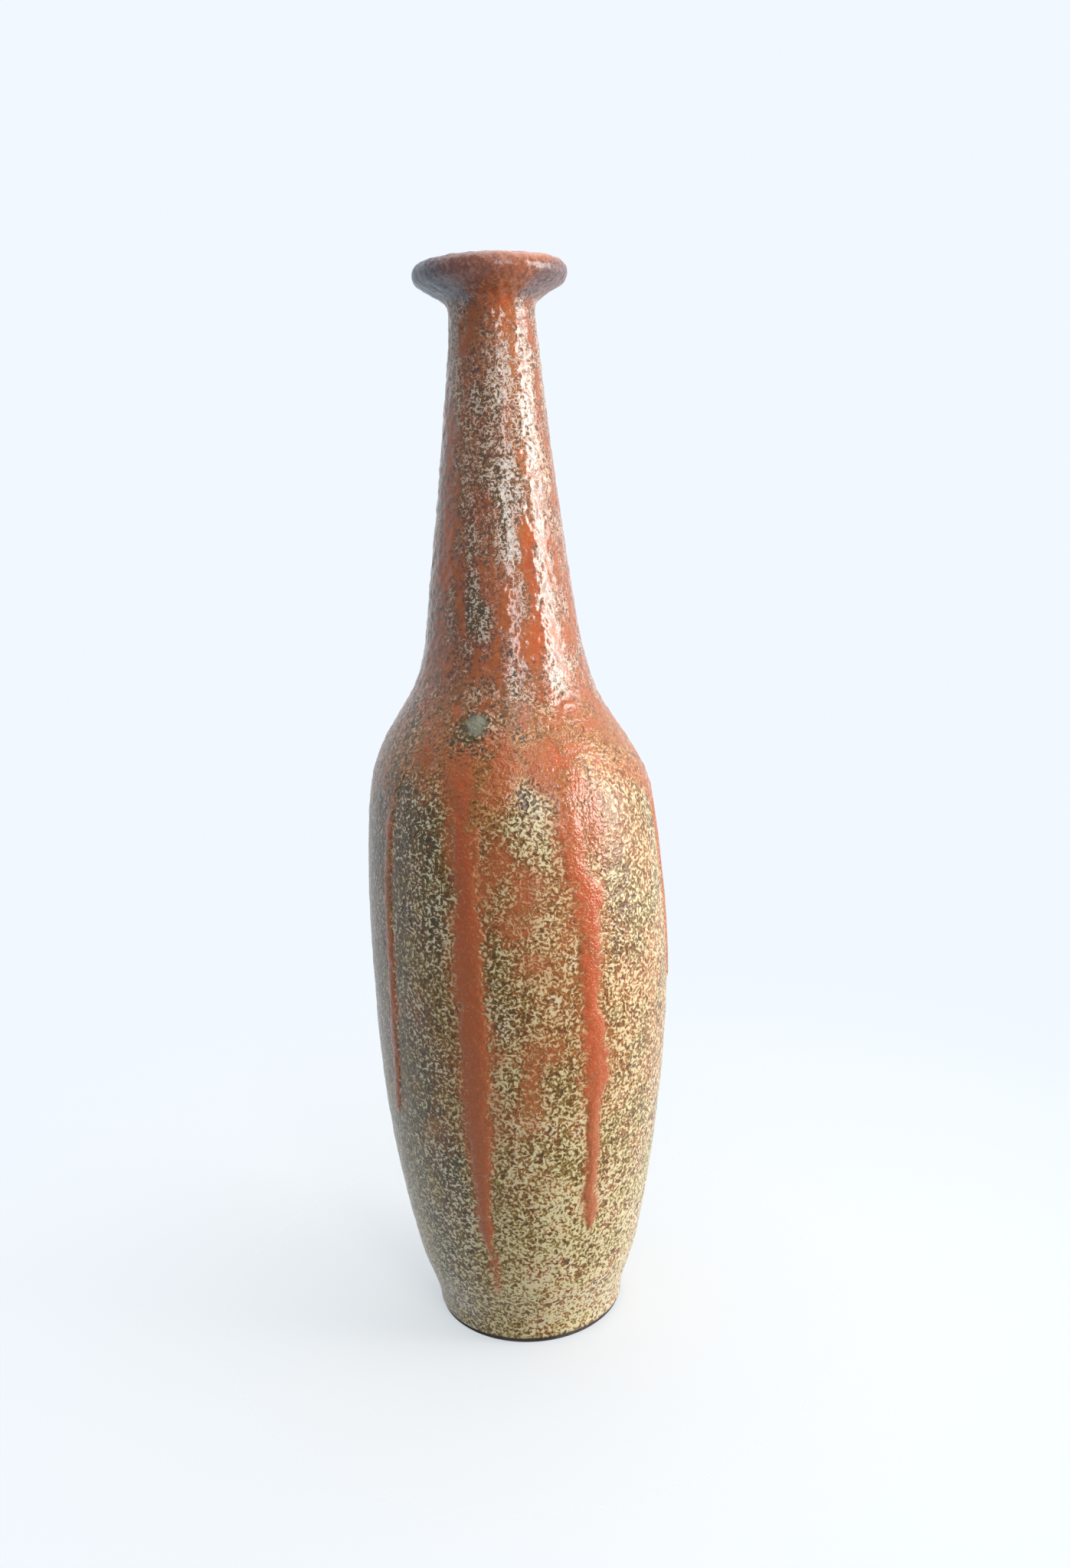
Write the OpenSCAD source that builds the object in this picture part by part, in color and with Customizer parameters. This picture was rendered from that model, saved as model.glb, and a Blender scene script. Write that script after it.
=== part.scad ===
// A wheel-thrown bottle vase: slender body, high shoulder, long tapered neck and flared collar.
// The clay is thrown in stacked sections, lined inside, coated outside with a mottled cream
// glaze, and dipped from the mouth to the shoulder in a red glaze that ran down the body.
// The vase stands on Z = 0 with its turning axis on Z, and its photographed side faces -Y.

/* [Foot] */
// Diameter of the clay at the table
foot_d = 72.6; // [64:0.2:84]
// Height of the bevel that is turned on the foot's lower edge
foot_bevel = 0.8; // [0.4:0.1:1.6]
// Greatest depth by which the wall is drawn in above the foot
foot_tuck = 1.5; // [0.5:0.1:2.5]
// Height over which the wall is drawn in
tuck_h = 30; // [24:1:40]
// Height of the inside floor above the table
floor_h = 13; // [10:0.5:18]
// Depth of the hollow turned under the base
recess_h = 5; // [3:0.5:8]
// Extra clay left at the inside corner between floor and wall
heel_t = 5; // [3:0.5:8]
// Height over which that extra clay thins out
heel_h = 27; // [18:1:40]

/* [Body] */
// Height of the lower thrown section, from the table
lower_throw_h = 104; // [80:1:120]
// Height from the table to the widest place
belly_rise = 147; // [130:1:165]
// Diameter of the clay at the widest place
belly_d = 112.4; // [100:0.2:126]
// Height from the widest place to the edge of the shoulder
chest_rise = 60; // [45:1:75]
// Diameter of the clay at the edge of the shoulder
shoulder_d = 106; // [96:0.2:110]
// Height from the edge of the shoulder to the root of the neck
shoulder_rise = 65; // [55:1:80]
// Thickness of the body's wall
wall_t = 5.5; // [4:0.1:7]

/* [Neck] */
// Diameter of the clay at the root of the neck
neck_root_d = 54; // [48:0.2:62]
// Height from the root of the neck to the underside of the collar
neck_rise = 111.6; // [90:0.2:140]
// Diameter of the clay at the narrowest place, under the collar
neck_top_d = 28; // [27:0.2:34]
// Diameter of the straight throat in the clay
throat_d = 22; // [16:0.2:23]
// Length of the straight throat below the collar
throat_len = 24; // [16:1:36]

/* [Collar] */
// Diameter of the clay over the lip
lip_d = 51.8; // [46:0.2:60]
// Thickness of the flared collar, which ends in a round lip
lip_t = 5.6; // [4.4:0.1:6.6]
// Slope of the collar from the horizontal, in degrees
flare_angle = 32; // [24:1:40]
// Radius of the hollow between neck and collar
root_fillet = 6.2; // [4:0.2:8]
// Radius of the edge between the mouth and the throat
mouth_fillet = 6; // [4:0.2:7]

/* [Glaze] */
// Thickness of the lining glaze inside
lining_t = 0.5; // [0.3:0.05:0.8]
// Thickness of the cream glaze outside
cream_t = 0.6; // [0.4:0.05:1]
// Thickness of the red glaze over it
red_t = 0.6; // [0.4:0.05:1]
// Height of the bare clay above the table
bare_h = 2.5; // [2:0.5:8]
// Height from the edge of the shoulder to the even part of the red coat
red_start = 25; // [22:0.5:30]
// Least depth of the ragged edge below the even coat
skirt_drop = 10; // [7:0.5:12]

/* [Runs] */
// Thickness of a glaze run at its middle
run_t = 1.3; // [0.8:0.1:1.8]
// Width of the widest run
run_w = 9.6; // [6:0.2:12]
// Length of the longest run
run_len = 160; // [110:1:170]
// Clearance between a run and the cream glaze under it
seat_gap = 0.1; // [0.05:0.01:0.15]

/* [Hidden] */
$fn = 96;

clay_tint = "tan";
cream_tint = "wheat";
red_tint = "orangered";
lining_tint = "peru";

// Radii and heights that the stacked sizes give
foot_r = foot_d / 2;
belly_r = belly_d / 2;
shoulder_r = shoulder_d / 2;
neck_root_r = neck_root_d / 2;
neck_top_r = neck_top_d / 2;
throat_r = throat_d / 2;
lip_r = lip_t / 2;
shoulder_z = belly_rise + chest_rise;
neck_root_z = shoulder_z + shoulder_rise;
neck_top_z = neck_root_z + neck_rise;
throat_z = neck_top_z - throat_len;
red_z = shoulder_z + red_start;

// Where the shoulder falls away most steeply, as shares of its rise and of its narrowing
haunch_rise_share = 0.54;
haunch_fall_share = 0.59;
// Steepest slope of the shoulder, as a share of its mean slope
haunch_slope_share = 1.67;
// How soon the neck's taper fades: 1 is a straight cone
neck_taper = 1.2;

haunch_z = shoulder_z + haunch_rise_share * shoulder_rise;
haunch_r = shoulder_r - haunch_fall_share * (shoulder_r - neck_root_r);
chest_slope = -2 * (belly_r - shoulder_r) / chest_rise;
haunch_slope = -haunch_slope_share * (shoulder_r - neck_root_r) / shoulder_rise;
neck_slope = -neck_taper * (neck_root_r - neck_top_r) / neck_rise;

// Depth by which the wall is drawn in at a height; the factor brings the greatest depth to 1
tuck_factor = 27 / 4;
function tuck(z) = let (s = min(1, z / tuck_h)) foot_tuck * tuck_factor * s * pow(1 - s, 2);

// Cubic curve over a rise h from a to b, with slopes ma and mb at its ends
function blend(a, b, ma, mb, h, t) =
    a * (1 + 2 * t) * pow(1 - t, 2) + b * t * t * (3 - 2 * t)
    + h * t * (1 - t) * (ma * (1 - t) - mb * t);

// Radius of the clay's outside at a height, from the table to the underside of the collar
function clay_r(z) =
    z < belly_rise ? foot_r + (belly_r - foot_r) * (1 - pow(1 - z / belly_rise, 2)) - tuck(z)
    : z < shoulder_z ? belly_r - (belly_r - shoulder_r) * pow((z - belly_rise) / chest_rise, 2)
    : z < haunch_z ? blend(shoulder_r, haunch_r, chest_slope, haunch_slope,
        haunch_z - shoulder_z, (z - shoulder_z) / (haunch_z - shoulder_z))
    : z < neck_root_z ? blend(haunch_r, neck_root_r, haunch_slope, neck_slope,
        neck_root_z - haunch_z, (z - haunch_z) / (neck_root_z - haunch_z))
    : neck_top_r + (neck_root_r - neck_top_r)
        * pow(max(0, 1 - (z - neck_root_z) / neck_rise), neck_taper);

// The wall keeps its thickness up to the shoulder and thins evenly to the throat
throat_wall = clay_r(throat_z) - throat_r;
function wall_at(z) =
    z < shoulder_z ? wall_t + heel_t * pow(1 - min(1, (z - floor_h) / heel_h), 2)
    : wall_t + (throat_wall - wall_t) * (z - shoulder_z) / (throat_z - shoulder_z);
function hollow_r(z) = z < throat_z ? clay_r(z) - wall_at(z) : throat_r;
base_r = hollow_r(floor_h);

// Points of the outside and of the hollow, from one height to another in even steps
function outer_line(z0, z1, steps) = [for (i = [0:steps]) let (z = z0 + (z1 - z0) * i / steps)
    [clay_r(z), z]];
function inner_line(z0, z1, steps) = [for (i = [0:steps]) let (z = z0 + (z1 - z0) * i / steps)
    [hollow_r(z), z]];
function arc(centre, r, a0, a1, steps) = [for (i = [0:steps]) let (a = a0 + (a1 - a0) * i / steps)
    centre + r * [cos(a), sin(a)]];
function backwards(line) = [for (i = [len(line) - 1:-1:0]) line[i]];
function without_first(line) = [for (i = [1:len(line) - 1]) line[i]];

// The collar: a hollow under it, a straight flare, the round lip and the funnel of the mouth
root_c = [neck_top_r + root_fillet, neck_top_z];
lip_c_r = lip_d / 2 - lip_r;
lip_c_z = neck_top_z + (root_fillet + lip_r) / cos(flare_angle)
    + (lip_c_r - root_c[0]) * tan(flare_angle);
lip_c = [lip_c_r, lip_c_z];
mouth_c_z = lip_c_z - tan(flare_angle) * (lip_c_r - throat_r - mouth_fillet)
    - (mouth_fillet - lip_r) / cos(flare_angle);
mouth_c = [throat_r + mouth_fillet, mouth_c_z];
under_line = concat(
    arc(root_c, root_fillet, 180, 90 + flare_angle, 6),
    arc(lip_c, lip_r, flare_angle - 90, 90 + flare_angle, 14)
);
mouth_line = arc(mouth_c, mouth_fillet, 90 + flare_angle, 180, 5);

// Even steps of each stretch of the turned outline
foot_steps = 4;
tuck_steps = 6;
lower_steps = 9;
upper_steps = 9;
shoulder_steps = 14;
neck_steps = 12;
heel_steps = 7;

neck_and_collar_line = concat(
    without_first(outer_line(neck_root_z, neck_top_z, neck_steps)),
    without_first(under_line),
    [mouth_line[0]]
);
lower_line = concat(
    outer_line(floor_h, tuck_h, tuck_steps),
    without_first(outer_line(tuck_h, lower_throw_h, lower_steps))
);
cream_line = concat(
    outer_line(bare_h, floor_h, foot_steps),
    without_first(lower_line),
    without_first(outer_line(lower_throw_h, shoulder_z, upper_steps)),
    without_first(outer_line(shoulder_z, neck_root_z, shoulder_steps)),
    neck_and_collar_line
);
red_line = concat(outer_line(red_z, neck_root_z, shoulder_steps), neck_and_collar_line);
lower_hollow_line = concat(
    inner_line(floor_h, floor_h + heel_h, heel_steps),
    without_first(inner_line(floor_h + heel_h, lower_throw_h, lower_steps))
);
hollow_line = concat(
    [[0, floor_h]],
    lower_hollow_line,
    without_first(inner_line(lower_throw_h, shoulder_z, upper_steps)),
    without_first(inner_line(shoulder_z, neck_root_z, shoulder_steps)),
    without_first(inner_line(neck_root_z, throat_z, neck_steps)),
    backwards(mouth_line)
);

// A line moved sideways by t, to the right of its direction, with mitred corners
function unit(v) = v / norm(v);
function side(a, b) = let (d = unit(b - a)) [d[1], -d[0]];
function moved(line, t) = [for (i = [0:len(line) - 1])
    let (
        n0 = side(line[max(0, i - 1)], line[max(1, i)]),
        n1 = side(line[min(i, len(line) - 2)], line[min(i + 1, len(line) - 1)])
    )
    line[i] + t * (n0 + n1) / (1 + n0 * n1)];

// A coat between two distances outside a line
module coat(line, inside_t, outside_t) {
    rotate_extrude()
        polygon(concat(moved(line, outside_t), backwards(moved(line, inside_t))));
}

// A thrown ring of clay between two heights
module thrown_ring(z0, z1, steps) {
    rotate_extrude()
        polygon(concat(outer_line(z0, z1, steps), backwards(inner_line(z0, z1, steps))));
}

// A point on the cream glaze at a height and an azimuth, 0 towards -Y, raised by a distance
probe = belly_rise / 1000;
function slope_at(z) = (clay_r(z + probe) - clay_r(z - probe)) / (2 * probe);
function on_glaze(z, azimuth, lift) =
    let (
        s = slope_at(z),
        c = sqrt(1 + s * s),
        r = clay_r(z) + (cream_t + lift) / c
    )
    [r * sin(azimuth), -r * cos(azimuth), z - (cream_t + lift) * s / c];

// A closed skin over a grid of points: rows of equal length, each row a closed loop
function loop_faces(rows, n) = [for (i = [0:rows - 2], j = [0:n - 1]) let (k = (j + 1) % n)
    each [[i * n + j, i * n + k, (i + 1) * n + j], [i * n + k, (i + 1) * n + k, (i + 1) * n + j]]];
function end_faces(rows, n) = [
    [for (j = [0:n - 1]) n - 1 - j],
    [for (j = [0:n - 1]) (rows - 1) * n + j]
];

// Runs, each as azimuth and lean in degrees, then width, length and bead as shares of the
// widest and longest run, the bead's place along the run, and how far it wanders in degrees
RUN_SHARES = [
    [-19, 1, 1, 1, 0.15, 0.9, 0.6],
    [21, 7, 0.68, 0.96, 0.45, 0.6, 1.2],
    [-55, -5, 0.62, 0.74, 0.3, 0.88, 0.8],
    [78, 4, 0.8, 0.52, 0.4, 0.85, 1],
    [168, -4, 0.95, 0.84, 0.35, 0.9, 1.2],
    [-118, 5, 0.72, 0.6, 0.4, 0.86, 1]
];

// Depth of the ragged edge: it hangs lowest where a run leaves it, and waves in between
lobe_angle = 9;
lobe_depth_share = 0.7;
wave_depth_share = 0.22;
wave_counts = [5, 11];
function turn_between(a, b) = let (d = abs(a - b) % 360) min(d, 360 - d);
function lobes_at(azimuth, i = 0) =
    i == len(RUN_SHARES) ? 0
    : RUN_SHARES[i][2] * exp(-pow(turn_between(azimuth, RUN_SHARES[i][0]) / lobe_angle, 2))
        + lobes_at(azimuth, i + 1);
function waves_at(azimuth) = sin(wave_counts[0] * azimuth) + cos(wave_counts[1] * azimuth);
function edge_drop(azimuth) = skirt_drop
    * (1 + lobe_depth_share * lobes_at(azimuth) + wave_depth_share * waves_at(azimuth));

// The skirt thins towards its edge
skirt_columns = 120;
skirt_rows = 4;
skirt_edge_share = 0.35;
function skirt_lift(s) = red_t * (1 - (1 - skirt_edge_share) * s * s);

// A run's half width and thickness along its length, from 0 at the skirt to 1 at the tip
run_rings = 26;
run_columns = 5;
stem_w_share = 0.62;
root_w_share = 0.5;
stem_t_share = 0.85;
root_t_share = 0.3;
root_span_share = 0.12;
edge_t_share = 0.12;
bead_span_share = 0.09;
tip_share = 0.94;
tip_end_share = 0.22;
wander_turn = 540;
function bead(run, t) = run[4] * exp(-pow((t - run[5]) / bead_span_share, 2));
function tip(t) = t < tip_share ? 1
    : max(tip_end_share, sqrt(max(0, 1 - pow((t - tip_share) / (1 - tip_share), 2))));
function run_half_w(run, t) = run_w / 2 * run[2] * tip(t)
    * (stem_w_share + root_w_share * pow(1 - t, 2) + bead(run, t));
function run_lift(run, t) = run_t * tip(t) * (stem_t_share + bead(run, t))
    * (root_t_share + (1 - root_t_share) * min(1, t / root_span_share));
function run_azimuth(run, t) = run[0] + run[1] * t + run[6] * sin(wander_turn * t);
// Share of the middle's thickness at a place across the run, -1 and 1 being its edges
function dome(s) = edge_t_share + (1 - edge_t_share) * pow(1 - s * s, 0.7);

module glaze_run(i) {
    run = RUN_SHARES[i];
    top_z = red_z - edge_drop(run[0]) - seat_gap;
    across = [for (k = [0:run_columns]) 2 * k / run_columns - 1];
    rings = [for (j = [0:run_rings]) let (
            t = j / run_rings,
            z = top_z - t * run_len * run[3],
            azimuth = run_azimuth(run, t),
            spread = run_half_w(run, t) / clay_r(z) * 180 / PI,
            lift = run_lift(run, t)
        )
        concat(
            [for (s = across) on_glaze(z, azimuth + spread * s, seat_gap + lift * dome(s))],
            [for (s = backwards(across)) on_glaze(z, azimuth + spread * s, seat_gap)]
        )];
    n = 2 * len(across);
    color(red_tint)
        polyhedron([for (ring = rings) each ring],
            concat(loop_faces(run_rings + 1, n), end_faces(run_rings + 1, n)));
}

// Foot and floor
module foot_ring() {
    color(clay_tint)
        rotate_extrude()
            polygon(concat(
                [[base_r, 0], [foot_r - foot_bevel, 0], [clay_r(foot_bevel), foot_bevel],
                    [clay_r(bare_h), bare_h]],
                without_first(outer_line(bare_h, floor_h, foot_steps)),
                [[base_r, floor_h]]
            ));
}

module base_floor() {
    color(clay_tint)
        translate([0, 0, recess_h])
            cylinder(r = base_r, h = floor_h - recess_h);
}

// Thrown sections
module lower_body() {
    color(clay_tint)
        rotate_extrude()
            polygon(concat(lower_line, backwards(lower_hollow_line)));
}

module upper_body() {
    color(clay_tint)
        thrown_ring(lower_throw_h, shoulder_z, upper_steps);
}

module shoulder() {
    color(clay_tint)
        thrown_ring(shoulder_z, neck_root_z, shoulder_steps);
}

module neck() {
    color(clay_tint)
        rotate_extrude()
            polygon(concat(
                outer_line(neck_root_z, neck_top_z, neck_steps),
                [[throat_r, neck_top_z]],
                backwards(inner_line(neck_root_z, throat_z, neck_steps))
            ));
}

module mouth_collar() {
    color(clay_tint)
        rotate_extrude()
            polygon(concat(under_line, mouth_line, [[throat_r, neck_top_z]]));
}

// Coats
module inner_glaze() {
    lined = moved(hollow_line, -lining_t);
    color(lining_tint)
        rotate_extrude()
            polygon(concat([for (p = lined) [max(0, p[0]), p[1]]], backwards(hollow_line)));
}

module cream_glaze() {
    color(cream_tint)
        coat(cream_line, 0, cream_t);
}

module red_glaze() {
    color(red_tint)
        coat(red_line, cream_t, cream_t + red_t);
}

module red_glaze_skirt() {
    n = skirt_columns;
    outside = [for (i = [0:skirt_rows]) let (s = i / skirt_rows)
        [for (j = [0:n - 1]) let (azimuth = 360 * j / n)
            on_glaze(red_z - s * edge_drop(azimuth), azimuth, skirt_lift(s))]];
    inside = [for (i = [skirt_rows:-1:0]) let (s = i / skirt_rows)
        [for (j = [0:n - 1]) let (azimuth = 360 * j / n)
            on_glaze(red_z - s * edge_drop(azimuth), azimuth, seat_gap / 2)]];
    rows = concat(outside, inside);
    count = len(rows);
    closing = [for (j = [0:n - 1]) let (k = (j + 1) % n, a = (count - 1) * n)
        each [[a + j, a + k, j], [a + k, k, j]]];
    color(red_tint)
        polyhedron([for (row = rows) each row], concat(loop_faces(count, n), closing));
}

// Runs of the red glaze down the body
module front_left_run() { glaze_run(0); }
module front_right_run() { glaze_run(1); }
module left_edge_run() { glaze_run(2); }
module right_side_run() { glaze_run(3); }
module back_run() { glaze_run(4); }
module back_left_run() { glaze_run(5); }

foot_ring();
base_floor();
lower_body();
upper_body();
shoulder();
neck();
mouth_collar();
inner_glaze();
cream_glaze();
red_glaze();
red_glaze_skirt();
front_left_run();
front_right_run();
left_edge_run();
right_side_run();
back_run();
back_left_run();
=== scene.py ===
"""The looks of a tall glazed stoneware bottle vase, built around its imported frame."""
import math

import bmesh
import bpy
import numpy as np
from bpy.props import FloatProperty, FloatVectorProperty, IntProperty, PointerProperty
from mathutils import Color, Matrix, Vector, noise
from mathutils.geometry import interpolate_bezier


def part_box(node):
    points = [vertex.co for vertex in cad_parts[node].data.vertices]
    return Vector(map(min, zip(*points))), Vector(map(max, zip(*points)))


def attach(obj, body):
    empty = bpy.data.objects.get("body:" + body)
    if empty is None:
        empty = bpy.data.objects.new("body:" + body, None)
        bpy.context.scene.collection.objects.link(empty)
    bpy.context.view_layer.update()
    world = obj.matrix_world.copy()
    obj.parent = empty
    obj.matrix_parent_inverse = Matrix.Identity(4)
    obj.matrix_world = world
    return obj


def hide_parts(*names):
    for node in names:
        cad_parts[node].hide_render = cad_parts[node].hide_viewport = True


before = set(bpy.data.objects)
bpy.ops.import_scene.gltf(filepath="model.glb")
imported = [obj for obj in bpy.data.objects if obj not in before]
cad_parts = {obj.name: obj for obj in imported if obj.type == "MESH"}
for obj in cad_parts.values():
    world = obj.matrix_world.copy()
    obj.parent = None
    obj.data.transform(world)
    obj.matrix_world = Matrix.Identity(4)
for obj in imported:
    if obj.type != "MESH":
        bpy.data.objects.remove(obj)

bl_info = {
    "name": "Bottle Vase",
    "version": (1, 0, 0),
    "blender": (4, 5, 0),
    "location": "3D View > Sidebar > Vase",
    "description": "Throws, glazes and lights a tall stoneware bottle vase",
    "category": "Object",
}

MM = 0.001
# Points closer together than this, in metres, are one point
NEAR = 1e-6
BODY = "root"
CLAY_NODES = ("foot_ring", "base_floor", "lower_body", "upper_body", "shoulder", "neck", "mouth_collar")

# Heights in mm where the red coat's surface starts, and over which it hides the cream coat
RED_FROM = 200
HIDDEN_FROM = 262
# One row in so many is kept where the cream coat is hidden, and on the red coat's inner side
HIDDEN_ROWS = 6
INNER_ROWS = 9

# Runs of the red glaze. Each row is a place down the run: height in mm, azimuth in degrees from
# the front towards +X, half width in mm, how red the glaze is there, from rust to scarlet, and how
# thickly it covers.
RUNS = {
    "front_left_run": (
        (226, -18.5, 6.5, 0.86, 0.8), (214, -18.2, 5.6, 0.92, 0.8), (200, -17.6, 4.8, 0.94, 0.82),
        (184, -17.9, 4.1, 0.9, 0.86), (173, -18, 4.7, 0.72, 0.92), (154, -19.2, 4.9, 0.66, 1.02),
        (143, -18, 4.6, 0.64, 0.98), (128, -17.8, 5.1, 0.62, 1), (100, -17.9, 4.8, 0.5, 0.98),
        (88, -18.4, 3.9, 0.46, 0.98), (79, -18.4, 3, 0.42, 0.95), (71, -18.3, 2.7, 0.42, 0.92),
        (57, -19, 2.8, 0.42, 0.92), (51, -18.4, 2, 0.42, 0.9), (47, -18, 1, 0.42, 0.85),
    ),
    "front_right_run": (
        (226, 21.5, 5, 0.9, 0.66), (216, 21.5, 5.2, 1, 0.7), (206, 23, 5.6, 1, 0.76),
        (199, 21.8, 4.6, 1, 0.76), (192, 23.6, 5, 1, 0.78), (184, 27, 5.4, 0.98, 0.84),
        (174, 26.4, 5.5, 0.96, 0.84), (166, 26.2, 4.6, 1, 0.88), (153, 25, 3.6, 0.92, 1),
        (147, 25, 2.8, 0.9, 1), (141, 24.9, 2.9, 0.92, 1), (135, 26.6, 4.2, 0.92, 1),
        (124, 27.2, 4.9, 0.92, 1), (113, 27.4, 4.5, 0.88, 1), (106, 26.6, 2.5, 0.76, 1),
        (87, 27.2, 2.3, 0.54, 1), (70, 26.7, 2.5, 0.46, 1), (61, 27.4, 3.1, 0.46, 1),
        (56, 27.8, 2.2, 0.46, 0.95), (53, 27.8, 1, 0.46, 0.9),
    ),
    "left_edge_run": (
        (224, -53, 3.7, 0.8, 0.62), (205, -54.6, 2.5, 0.8, 0.6), (188, -55.8, 2.2, 0.84, 0.6),
        (158, -55.8, 2.4, 0.82, 0.62), (135, -56.8, 2.5, 0.8, 0.66), (112, -58.5, 2.3, 0.78, 0.66),
        (101, -59.8, 2.1, 0.74, 0.64), (96, -60.4, 1, 0.66, 0.6),
    ),
    "right_side_run": (
        (226, 78, 4.9, 0.9, 0.76), (204, 78.8, 3.1, 1, 0.76), (182, 80, 2.5, 0.98, 0.76),
        (162, 80.6, 2.4, 0.92, 0.76), (149, 81.6, 3.1, 0.96, 0.76), (143, 81.9, 2.7, 0.92, 0.76),
        (138, 82, 1, 0.8, 0.76),
    ),
    "back_run": (
        (226, 168, 8, 0.85, 0.85), (206, 168.6, 5.6, 0.96, 0.85), (191, 166.6, 3.6, 0.94, 0.9),
        (176, 168, 4.9, 0.9, 0.95), (160, 166.8, 3.4, 0.84, 1), (143, 165.4, 4.4, 0.78, 1),
        (124, 165.8, 2.6, 0.76, 1), (108, 164.2, 3.2, 0.78, 1), (98, 164.4, 4.6, 0.76, 1),
        (92, 164.1, 3.4, 0.72, 1), (88, 164, 1, 0.7, 0.95),
    ),
    "back_left_run": (
        (226, -118, 6, 0.85, 0.95), (202, -117.2, 3.8, 0.95, 0.95), (172, -115.6, 3.1, 0.92, 0.95),
        (146, -114.3, 3.1, 0.88, 0.95), (135, -113.7, 4.1, 0.92, 0.95), (130, -113.4, 3.2, 0.88, 0.95),
        (126, -113.2, 1.2, 0.8, 0.95),
    ),
}

# Radius in mm that the runs' half widths are laid out on
RUN_RADIUS = 56
# The mesh of a run: points across it, mm between its rows and under its tip, and how far it and the
# dome on it reach to each side, in half widths
RUN_POINTS = 34
RUN_ROW = 0.7
RUN_TIP = 4
RUN_REACH = 1.7
DOME_REACH = 1.45

# Faint red streak under the tip of the front left run: azimuth, half width and the body's radius
# there, in degrees and mm
STREAK = (-16.5, 2.6, 50)

# Lower edge of the red coat: azimuth in degrees and height in mm
RED_EDGE = (
    (-180, 221), (-160, 226), (-140, 219), (-118, 209), (-100, 217), (-84, 212), (-70, 216), (-55, 213),
    (-46, 226), (-34, 231), (-26, 222), (-18, 210), (-10, 213), (-2, 218), (8, 226), (14, 222),
    (21, 211), (29, 216), (37, 229), (50, 227), (64, 221), (79, 205), (95, 214), (118, 226), (140, 218),
    (155, 222), (168, 208),
)

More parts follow.
